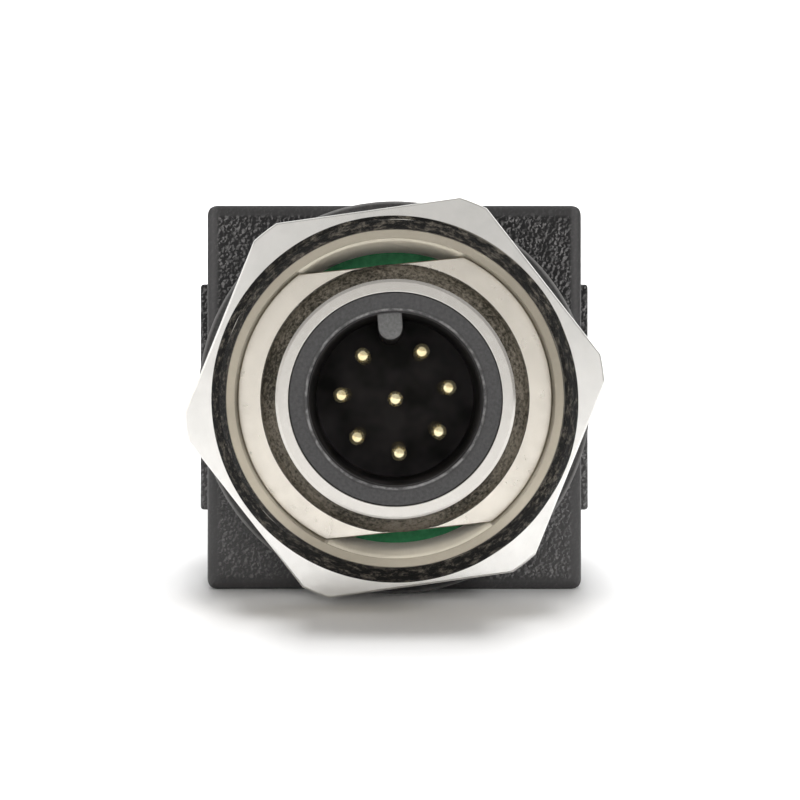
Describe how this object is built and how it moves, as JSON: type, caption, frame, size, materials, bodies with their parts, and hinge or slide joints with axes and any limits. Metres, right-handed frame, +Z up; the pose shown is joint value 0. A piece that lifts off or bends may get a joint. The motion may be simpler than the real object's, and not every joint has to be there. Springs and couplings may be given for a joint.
{
  "type": "industrial ethernet adapter",
  "caption": "Panel adapter with a threaded circular male connector and a hex panel nut at the front, and a shielded modular jack at the rear of a square black housing.",
  "frame": {"origin": "on the connector axis, in the plane of the gasket's front face, where the panel bears", "axes": "-Y along the connector axis out of the circular end, +Y out of the modular jack, +Z up with the housing standing on its flat base, +X to the right seen from the circular end"},
  "size_m": [0.025, 0.0445, 0.0242],
  "materials": {
    "housing_plastic": "spark-eroded black",
    "seal_rubber": "smooth matte black",
    "nickel_nut": "nickel plated, satin",
    "nickel_neck": "nickel plated, turned",
    "nickel_shell": "nickel plated, turned",
    "ring_rubber": "dark brown-grey",
    "insert_plastic": "dark grey",
    "board_green": "green solder mask",
    "jack_plastic": "black",
    "shield_steel": "tinned sheet",
    "gold_pin": "gold plated",
    "gold_wire": "gold plated"
  },
  "bodies": {
    "adapter": {"housing": "housing_plastic", "rear_cover": "housing_plastic", "threaded_neck": "nickel_neck", "m12_shell": "nickel_shell", "shell_o_ring": "ring_rubber", "m12_insert": "insert_plastic", "contact_board": "board_green", "main_board": "board_green", "link_header_upper": "jack_plastic", "link_header_lower": "jack_plastic", "link_pins_upper": "gold_wire", "link_pins_lower": "gold_wire", "jack_body": "jack_plastic", "jack_shield": "shield_steel", "contact_pin_1": "gold_pin", "contact_pin_2": "gold_pin", "contact_pin_3": "gold_pin", "contact_pin_4": "gold_pin", "contact_pin_5": "gold_pin", "contact_pin_6": "gold_pin", "contact_pin_7": "gold_pin", "contact_pin_8": "gold_pin", "jack_contact_1": "gold_wire", "jack_contact_2": "gold_wire", "jack_contact_3": "gold_wire", "jack_contact_4": "gold_wire", "jack_contact_5": "gold_wire", "jack_contact_6": "gold_wire", "jack_contact_7": "gold_wire", "jack_contact_8": "gold_wire"},
    "gasket": {"panel_gasket": "seal_rubber"},
    "nut": {"hex_nut": "nickel_nut"}
  },
  "joints": [
    {"name": "nut_turn", "type": "hinge", "parent": "adapter", "child": "gasket", "pos_m": [0, 0, 0], "axis": [0, -1, 0], "range_deg": [0, 1440]},
    {"name": "nut_advance", "type": "slide", "parent": "gasket", "child": "nut", "axis": [0, -1, 0], "range_m": [0, 0.006]}
  ],
  "couplings": [
    {"joint": "nut_advance", "follows": "nut_turn", "m_per_rad": 0.00023873}
  ]
}
